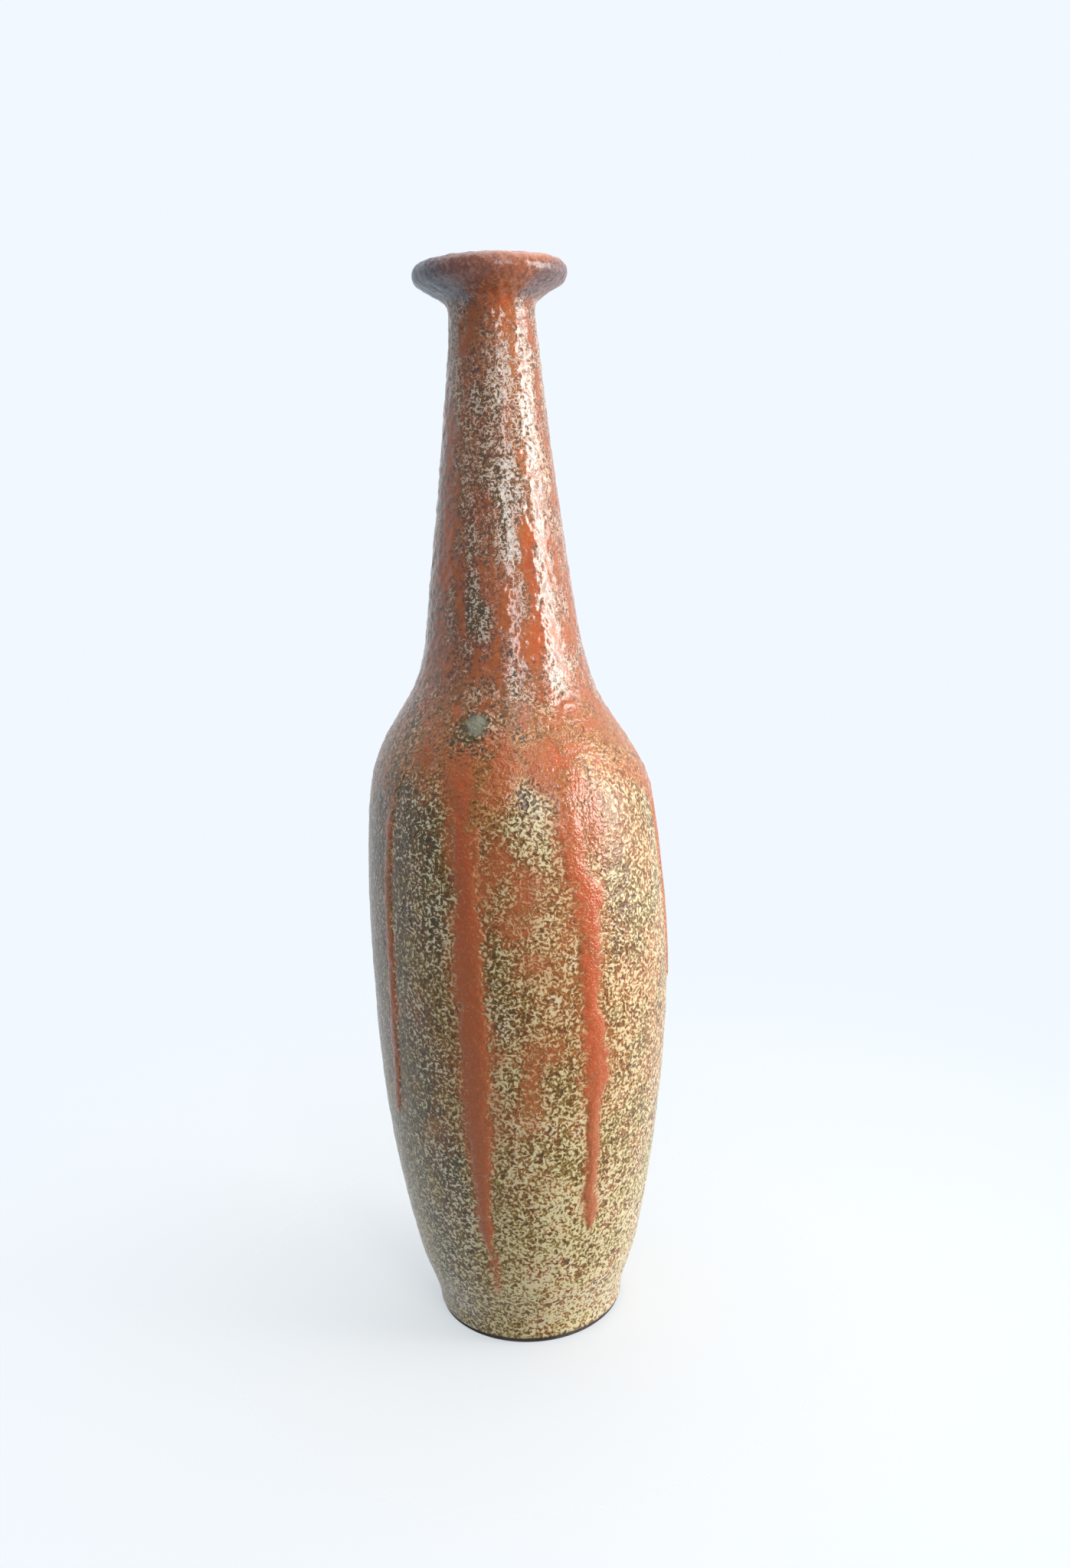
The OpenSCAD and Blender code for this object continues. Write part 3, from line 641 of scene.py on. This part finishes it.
class Outline:
    """The outer side of the cream coat: radius, height and outward direction from foot to mouth."""

    def __init__(self, row_step):
        loop = section("cream_glaze")
        half = len(loop) // 2
        outer, inner = loop[:half], loop[half:][::-1]
        if (outer[0] - outer[1]).length < (inner[0] - inner[1]).length * 0.5:
            raise RuntimeError("the cream coat's outline is not what was expected")
        if outer[half // 2].x < inner[half // 2].x:
            outer, inner = inner, outer
        self.line = flowing(outer, row_step)
        self.inner = inner
        r = np.array([p.x for p in self.line])
        z = np.array([p.z for p in self.line])
        along = np.stack([np.gradient(r), np.gradient(z)])
        along /= np.linalg.norm(along, axis=0)
        self.r, self.z, self.out_r, self.out_z = r, z, along[1], -along[0]
        self.body = slice(0, int(np.argmax(self.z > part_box("neck")[1].z)))

    def at_height(self, z):
        """Radius and outward direction on the body or the neck at a height."""
        rows = self.body
        return tuple(np.interp(z, self.z[rows], a[rows]) for a in (self.r, self.out_r, self.out_z))

    def outward(self, kept, rest):
        """Outward direction at each row of a shape: the kept rows, and none for the rest of them."""
        still = np.zeros(rest)
        return np.concatenate([self.out_r[kept], still]), np.concatenate([self.out_z[kept], still])


# How much of each glaze there is at a place, with azimuths in degrees and heights in mm
def bell(distance, spread):
    """1 at no distance, and less and less beyond the spread."""
    return np.exp(-(distance / spread) ** 2)


def soft(value, low, high):
    """0 under low, 1 over high, and a soft rise between."""
    share = np.clip((value - low) / (high - low), 0, 1)
    return share * share * (3 - 2 * share)


def turn(azimuth, centre):
    """Degrees from one azimuth to another, the short way round."""
    return (azimuth - centre + 180) % 360 - 180


def patch(azimuth, z, turn_at, height, wide, high):
    """How far a place is inside a patch: 1 in its middle, fading out round it."""
    return bell(turn(azimuth, turn_at), wide) * bell(z - height, high)


def sway(z):
    """Sideways shift of the turning axis, in metres as its height is; none at the foot."""
    shift = sum(amount * bell(z / MM - height, spread) for height, spread, amount in SWAY)
    return shift * MM * soft(z / MM, 13, 40)


def waver(azimuth, z, seed, pitch, radius=50):
    """Smooth noise over the surface, from about -1 to 1, alike for neighbouring places; all in mm."""
    across = radius * np.sin(np.radians(azimuth))
    ahead = -radius * np.cos(np.radians(azimuth))
    places = np.stack([across / pitch, ahead / pitch, z / pitch + seed], axis=-1)
    return np.array([noise.noise(place) for place in places.tolist()])


def run_columns(rows):
    """The columns of a run's table, from its tip up."""
    return [np.array(column, float)[::-1] for column in zip(*rows)]


def run_place(rows, azimuth, z):
    """Signed share across a run, -1 and 1 at its edges, with its redness and its cover."""
    heights, turns, halves, reds, covers = run_columns(rows)
    centre = np.interp(z, heights, turns)
    half = np.interp(z, heights, halves)
    across = np.radians(turn(azimuth, centre)) * RUN_RADIUS / half
    return across, np.interp(z, heights, reds), np.interp(z, heights, covers)


def run_waver(azimuth, z):
    """How far the edges of the runs stray, as a share of a run's half width."""
    long_waver = waver(azimuth, z * 0.6, seed=3.1, pitch=5)
    return 0.28 * long_waver + 0.40 * waver(azimuth, z, seed=9.4, pitch=2.6)


def in_run(rows, z):
    """1 along a run, fading out at its ends."""
    top, tip = rows[0][0], rows[-1][0]
    return soft(z, tip - 3, tip + 1) * (1 - soft(z, top - 20, top))


def red_edge(azimuth):
    """Height of the red coat's lower edge."""
    turns, heights = zip(*RED_EDGE)
    return np.interp(azimuth, turns, heights, period=360)


def over_edge(azimuth, z):
    """Height of a place over the red coat's lower edge, with the edge made ragged."""
    return z - (red_edge(azimuth) + 3.0 * waver(azimuth, z, seed=7.3, pitch=9))


def glaze_amounts(azimuth, z):
    """The amounts that the glaze's material reads: how far the red, grey green and cream glazes go, how
    hot the red is, and the shares of red coat, neck, lip and bald spot, at places."""
    over = over_edge(azimuth, z)
    coat = soft(over, -10, 4)
    neck = soft(z, 232, 262)
    lip = soft(z, 382, 393)
    # The front is stained red and the low body is creamer; the right is creamer and the left greyer with
    # fewer flecks, which is partly painted light on the right and painted shade on the left, as the light
    # falls from the right
    red = 0.46 * soft(over, -7, 9) + 0.04 * neck + 0.11 * bell(turn(azimuth, 4), 30) * soft(z, 60, 120)
    grey = 0.10 + 0.12 * neck
    grey += 0.30 * soft(-azimuth, 15, 50) * soft(azimuth, -170, -140) * (1 - 0.8 * neck)
    cream = 0.12 + 0.10 * soft(azimuth, -30, 60) - 0.18 * soft(-azimuth, 15, 60) + 0.15 * neck
    cream += 0.25 * (1 - soft(z, 20, 110))
    for *middle_and_size, add_red, add_grey, add_cream in PATCHES:
        here = patch(azimuth, z, *middle_and_size)
        red += add_red * here
        grey += add_grey * here
        cream += add_cream * here
    hot = 0.25 + 1.6 * np.clip(red - 0.5, 0, 1)
    ragged = run_waver(azimuth, z)
    for rows in RUNS.values():
        across, redness, cover = run_place(rows, azimuth, z)
        across = across + ragged
        inside = (1 - soft(abs(across), 0.50, 1.40)) * in_run(rows, z)
        halo = (1 - soft(abs(across), 1.0, 2.5)) * in_run(rows, z)
        red = np.maximum(red, cover * inside)
        hot += (redness - hot) * soft(inside, 0.1, 0.7)
        red = np.maximum(red, 0.27 * halo)
        coat = coat * (1 - 0.7 * inside)
    streak_turn, streak_half, radius = STREAK
    across = np.radians(turn(azimuth, streak_turn)) * radius / streak_half
    red = np.maximum(red, 0.36 * bell(across, 1) * soft(z, 22, 28) * (1 - soft(z, 44, 50)))
    bald = patch(azimuth, z, *BALD_SPOT)
    halo = patch(azimuth, z, *BALD_HALO)
    red -= 0.5 * bald + 0.3 * halo
    grey += 0.6 * halo
    cream -= 0.5 * halo
    return {
        "red": red, "hot": hot, "grey": grey, "cream": cream,
        "coat": coat, "neck": neck, "lip": lip, "bald": bald,
    }


# Making meshes
def new_object(name, bm, material):
    """Turns a bmesh into an object at the origin."""
    mesh = bpy.data.meshes.new(name)
    bm.to_mesh(mesh)
    bm.free()
    mesh.materials.append(material)
    made = bpy.data.objects.new(name, mesh)
    bpy.context.scene.collection.objects.link(made)
    return made


def new_piece(name, bm, nodes, material):
    """Turns a bmesh into a piece that stands for CAD nodes."""
    piece = new_object(name, bm, material)
    piece.data.shade_smooth()
    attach(piece, BODY)
    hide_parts(*nodes)
    return piece


def turned(points, steps):
    """A closed shape turned from an outline, with each row's number kept on its points."""
    bm = bmesh.new()
    row = bm.verts.layers.int.new("row")
    verts = []
    for number, point in enumerate(points):
        vert = bm.verts.new(point)
        vert[row] = number
        verts.append(vert)
    edges = [bm.edges.new(pair) for pair in zip(verts, verts[1:])]
    if points[0].x > NEAR or points[-1].x > NEAR:
        edges.append(bm.edges.new((verts[-1], verts[0])))
    # An eighth of a turn is spun and doubled three times, which is far quicker than one full spin
    bmesh.ops.spin(
        bm, geom=verts + edges, cent=(0, 0, 0), axis=(0, 0, 1), angle=math.tau / 8, steps=steps // 8)
    for parts in (8, 4, 2):
        copied = bmesh.ops.duplicate(bm, geom=[*bm.verts, *bm.edges, *bm.faces])["geom"]
        moved = [v for v in copied if isinstance(v, bmesh.types.BMVert)]
        bmesh.ops.rotate(bm, verts=moved, cent=(0, 0, 0), matrix=Matrix.Rotation(math.tau / parts, 3, "Z"))
    bmesh.ops.remove_doubles(bm, verts=bm.verts, dist=2 * NEAR)
    bmesh.ops.recalc_face_normals(bm, faces=bm.faces)
    return bm


def read_points(bm):
    """Radius, azimuth in degrees and height of every point, and its row."""
    bm.verts.ensure_lookup_table()
    co = np.array([tuple(v.co) for v in bm.verts])
    row = bm.verts.layers.int["row"]
    rows = np.array([v[row] for v in bm.verts])
    radius = np.hypot(co[:, 0], co[:, 1])
    azimuth = np.degrees(np.arctan2(co[:, 0], -co[:, 1]))
    return radius, azimuth, co[:, 2], rows


def write_points(bm, radius, azimuth, z):
    """Moves every point to its radius, azimuth and height, with the axis's sway."""
    angle = np.radians(azimuth)
    x = radius * np.sin(angle) + sway(z)
    y = -radius * np.cos(angle)
    for vert, place in zip(bm.verts, zip(x, y, z)):
        vert.co = place


def swayed(bm):
    """A turned shape with the axis's sway."""
    radius, azimuth, z, _ = read_points(bm)
    write_points(bm, radius, azimuth, z)
    return bm


def write_amounts(bm, azimuth, z):
    """Keeps the amounts of glaze on the points of a shape."""
    for name, values in glaze_amounts(azimuth, z).items():
        layer = bm.verts.layers.float.new(name)
        for vert, value in zip(bm.verts, values.tolist()):
            vert[layer] = value


def relief(azimuth, z, radius, share):
    """Height of the lumps in a glaze's surface at places, in metres, where this share of them shows."""
    size = bpy.context.scene.vase_sizes
    lump = size.lump / MM
    z = z / MM
    radius = radius / MM
    body = waver(azimuth, z, seed=0.0, pitch=lump) + 0.7 * waver(azimuth, z, seed=31.7, pitch=2.6 * lump)
    pebbles = waver(azimuth, z, seed=5.9, pitch=0.6 * lump, radius=radius)
    pebbles = pebbles + 0.7 * waver(azimuth, z, seed=17.1, pitch=1.2 * lump, radius=radius)
    body = size.body_relief * body
    return (body + (size.neck_relief * pebbles - body) * soft(z, 180, 236)) * share


# Operators
class ThrowClay(bpy.types.Operator):
    """Throws the stacked sections of clay from the foot to the collar"""
    bl_idname = "vase.throw_clay"
    bl_label = "Throw Clay"

    def execute(self, context):
        steps = context.scene.vase_sizes.clay_steps
        material = clay_material()
        for node in CLAY_NODES:
            bm = swayed(turned(section(node), steps))
            piece = new_piece("thrown_" + node, bm, [node], material)
            piece.data.set_sharp_from_angle(angle=math.radians(35))
        return {"FINISHED"}


class LineInside(bpy.types.Operator):
    """Lines the inside with brown glaze"""
    bl_idname = "vase.line_inside"
    bl_label = "Line Inside"

    def execute(self, context):
        bm = swayed(turned(section("inner_glaze"), context.scene.vase_sizes.lining_steps))
        new_piece("lining", bm, ["inner_glaze"], lining_material())
        return {"FINISHED"}


class GlazeCream(bpy.types.Operator):
    """Coats the outside with the mottled cream glaze"""
    bl_idname = "vase.glaze_cream"
    bl_label = "Glaze Cream"

    def execute(self, context):
        size = context.scene.vase_sizes
        outline = Outline(size.row_step)
        top = int(np.argmax(outline.z > HIDDEN_FROM * MM))
        kept = [*range(top), *range(top, len(outline.line), HIDDEN_ROWS)]
        outer = [outline.line[row] for row in kept]
        bm = turned(outer + outline.inner[::-1], size.turn_steps)
        radius, azimuth, z, rows = read_points(bm)
        out_r, out_z = outline.outward(kept, len(outline.inner))
        # The lumps are lower just over the bare foot, and there are none under the red coat
        foot = outline.z[0] / MM
        shown = 0.2 + 0.8 * soft(z / MM, foot, foot + 4)
        covered = soft(z / MM, red_edge(azimuth) + 6, red_edge(azimuth) + 12)
        lift = relief(azimuth, z, radius, (1 - covered) * shown)
        write_points(bm, radius + out_r[rows] * lift, azimuth, z + out_z[rows] * lift)
        write_amounts(bm, azimuth, z / MM)
        new_piece("cream_coat", bm, ["cream_glaze"], glaze_material("flecked_glaze"))
        return {"FINISHED"}


class GlazeRed(bpy.types.Operator):
    """Lays the red glaze from the mouth to the shoulder, with its ragged lower edge"""
    bl_idname = "vase.glaze_red"
    bl_label = "Glaze Red"

    def execute(self, context):
        size = context.scene.vase_sizes
        outline = Outline(size.neck_row_step)
        first = int(np.argmax(outline.z > RED_FROM * MM))
        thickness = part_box("red_glaze")[1].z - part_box("cream_glaze")[1].z
        depth = size.sink * 2
        outer = outline.line[first:]
        under = [
            Vector((r - depth * a, 0, z - depth * b))
            for r, z, a, b in zip(outline.r, outline.z, outline.out_r, outline.out_z)][first:]
        inner = under[::INNER_ROWS] + [under[-1]]
        bm = turned(outer + inner[::-1], size.neck_steps)
        radius, azimuth, z, rows = read_points(bm)
        out_r, out_z = outline.outward(slice(first, None), len(inner))
        # The coat thins out over its ragged lower edge, and over the last rows inside the mouth
        cover = soft(over_edge(azimuth, z / MM), -7, 9)
        last = len(outer) - 1
        mouth = 1 - soft(rows, last - 4, last)
        lift = thickness * cover - size.sink * (1 - cover) + relief(azimuth, z, radius, 0.3 + 0.7 * cover)
        lift = lift * np.where(rows <= last, mouth, 1)
        write_points(bm, radius + out_r[rows] * lift, azimuth, z + out_z[rows] * lift)
        write_amounts(bm, azimuth, z / MM)
        material = glaze_material("running_glaze")
        new_piece("red_coat", bm, ["red_glaze", "red_glaze_skirt"], material)
        return {"FINISHED"}


class RunGlaze(bpy.types.Operator):
    """Lets the red glaze run down the body"""
    bl_idname = "vase.run_glaze"
    bl_label = "Run Glaze"

    def execute(self, context):
        size = context.scene.vase_sizes
        outline = Outline(size.row_step)
        material = bpy.data.materials["running_glaze"]
        for node, rows in RUNS.items():
            bm = self.domed(size, outline, rows)
            new_piece(node + "_glaze", bm, [node], material)
        return {"FINISHED"}

    def domed(self, size, outline, rows):
        """A run's thin dome on the cream coat, closed underneath."""
        heights, turns, halves = run_columns(rows)[:3]
        length = heights[-1] - heights[0] + RUN_TIP
        bm = bmesh.new()
        bmesh.ops.create_grid(bm, x_segments=RUN_POINTS, y_segments=int(length / RUN_ROW), size=0.5)
        bm.verts.ensure_lookup_table()
        share = np.array([v.co for v in bm.verts])
        z = heights[0] - RUN_TIP + (share[:, 1] + 0.5) * length
        side = 2 * share[:, 0] * RUN_REACH
        half = np.interp(z, heights, halves)
        azimuth = np.interp(z, heights, turns) + np.degrees(side * half / RUN_RADIUS)
        across = side + run_waver(azimuth, z)
        dome = np.clip(1 - (abs(across) / DOME_REACH) ** 2, 0, 1) ** 1.3 * in_run(rows, z)
        thick = 0.75 + 0.25 * waver(azimuth, z * 0.4, seed=12.9, pitch=8)
        lift = size.run_height * dome * thick - size.sink * (1 - dome)
        radius, out_r, out_z = outline.at_height(z * MM)
        lift = lift + 0.4 * relief(azimuth, z * MM, radius, dome)
        write_points(bm, radius + out_r * lift, azimuth, z * MM + out_z * lift)
        write_amounts(bm, azimuth, z)
        bmesh.ops.recalc_face_normals(bm, faces=bm.faces)
        bm.faces.ensure_lookup_table()
        face = bm.faces[len(bm.faces) // 2]
        if face.normal.dot(Vector((*face.calc_center_median().xy, 0))) < 0:
            bmesh.ops.reverse_faces(bm, faces=bm.faces)
        bmesh.ops.solidify(bm, geom=bm.faces, thickness=size.sink)
        return bm


class SetStage(bpy.types.Operator):
    """Sets the floor, the backdrop, the lights and the camera"""
    bl_idname = "vase.set_stage"
    bl_label = "Set Stage"

    def execute(self, context):
        stage = context.scene.vase_stage
        self.lay_floor(stage)
        self.light_room(context, stage)
        for name, place, aim, sides, power, colour in LIGHTS:
            self.hang_light(name, place, aim, sides, getattr(stage, power), colour)
        self.place_camera(context, stage)
        return {"FINISHED"}

    def lay_floor(self, stage):
        """A wide disc that fades into the backdrop round the vase."""
        s = Surface("floor_paper")
        out = s.node("ShaderNodeVectorMath", {"operation": "LENGTH"}, {0: s.place}, output="Value")
        grain = s.noise(900, detail=2.0)
        matt = s.node(
            "ShaderNodeBsdfPrincipled", {},
            {"Base Color": stage.floor, "Roughness": 0.85, "Normal": s.bump(grain, 0.1 * MM, 0.2)})
        clear = s.node("ShaderNodeBsdfTransparent")
        faded = s.node("ShaderNodeMixShader", {}, {0: s.step(out, -0.5, 0.45), 1: matt, 2: clear})
        s.node("ShaderNodeOutputMaterial", {}, {"Surface": faded})
        bm = bmesh.new()
        bmesh.ops.create_circle(bm, cap_ends=True, segments=128, radius=2.5)
        new_object("floor", bm, s.material)

    def light_room(self, context, stage):
        """A pale backdrop all round, whose light on the vase is weaker, and weakest from the front."""
        world = bpy.data.worlds.new("room")
        room = Shading(world)
        way = room.node("ShaderNodeTexCoord", output="Generated")
        ahead = room.node("ShaderNodeSeparateXYZ", {}, {"Vector": way}, output="Y")
        mirrored = room.node(
            "ShaderNodeMapRange", {"interpolation_type": "SMOOTHSTEP"},
            {"Value": ahead, "From Min": -0.55, "From Max": 0.35, "To Min": stage.front, "To Max": 1})
        diffuse = room.node("ShaderNodeLightPath", output="Is Diffuse Ray")
        lit = room.node("ShaderNodeMix", {}, {"Factor": diffuse, "A": mirrored, "B": stage.fill})
        direct = room.node("ShaderNodeLightPath", output="Is Camera Ray")
        strength = room.node("ShaderNodeMix", {}, {"Factor": direct, "A": lit, "B": 1})
        background = room.node(
            "ShaderNodeBackground", {}, {"Color": stage.backdrop, "Strength": strength})
        room.node("ShaderNodeOutputWorld", {}, {"Surface": background})
        context.scene.world = world

    def hang_light(self, name, place, aim, sides, power, colour):
        """A rectangular light, turned to the point that it is aimed at."""
        lamp = bpy.data.lights.new(name, "AREA")
        lamp.shape = "RECTANGLE"
        lamp.size, lamp.size_y = sides
        lamp.energy = power
        lamp.color = colour
        light = bpy.data.objects.new(name, lamp)
        aimed = (Vector(aim) - Vector(place)).to_track_quat("-Z", "Y")
        light.matrix_world = Matrix.LocRotScale(Vector(place), aimed, None)
        bpy.context.scene.collection.objects.link(light)

    def place_camera(self, context, stage):
        """A camera in front of the vase, a little under its rim."""
        data = bpy.data.cameras.new("camera")
        data.sensor_width = 36
        data.lens = stage.focal_px * data.sensor_width / stage.picture_px
        camera = bpy.data.objects.new("camera", data)
        level = Matrix.Rotation(-stage.yaw, 4, "Z") @ Matrix.Rotation(math.pi / 2 - stage.pitch, 4, "X")
        aimed = level @ Matrix.Rotation(stage.roll, 4, "Z")
        camera.matrix_world = Matrix.Translation((0, -stage.distance, stage.height)) @ aimed
        context.scene.collection.objects.link(camera)
        context.scene.camera = camera
        context.scene.view_settings.view_transform = "Standard"


class VasePanel(bpy.types.Panel):
    """Lists the steps that make the vase"""
    bl_idname = "VIEW3D_PT_vase"
    bl_label = "Bottle Vase"
    bl_space_type = "VIEW_3D"
    bl_region_type = "UI"
    bl_category = "Vase"

    def draw(self, context):
        column = self.layout.column()
        for operator in OPERATORS:
            column.operator(operator.bl_idname)
        for group in (context.scene.vase_sizes, context.scene.vase_colours, context.scene.vase_stage):
            for name in group.__annotations__:
                column.prop(group, name)


GROUPS = {"vase_sizes": VaseSizes, "vase_colours": VaseColours, "vase_stage": VaseStage}
OPERATORS = (ThrowClay, LineInside, GlazeCream, GlazeRed, RunGlaze, SetStage)


def register():
    for name, group in GROUPS.items():
        bpy.utils.register_class(group)
        setattr(bpy.types.Scene, name, PointerProperty(type=group))
    for shown in (*OPERATORS, VasePanel):
        bpy.utils.register_class(shown)


def unregister():
    for shown in (VasePanel, *reversed(OPERATORS)):
        bpy.utils.unregister_class(shown)
    for name, group in reversed(GROUPS.items()):
        delattr(bpy.types.Scene, name)
        bpy.utils.unregister_class(group)


def main():
    register()
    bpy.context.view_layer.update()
    bpy.ops.vase.throw_clay()
    bpy.ops.vase.line_inside()
    bpy.ops.vase.glaze_cream()
    bpy.ops.vase.glaze_red()
    bpy.ops.vase.run_glaze()
    bpy.ops.vase.set_stage()


if __name__ == "__main__":
    main()
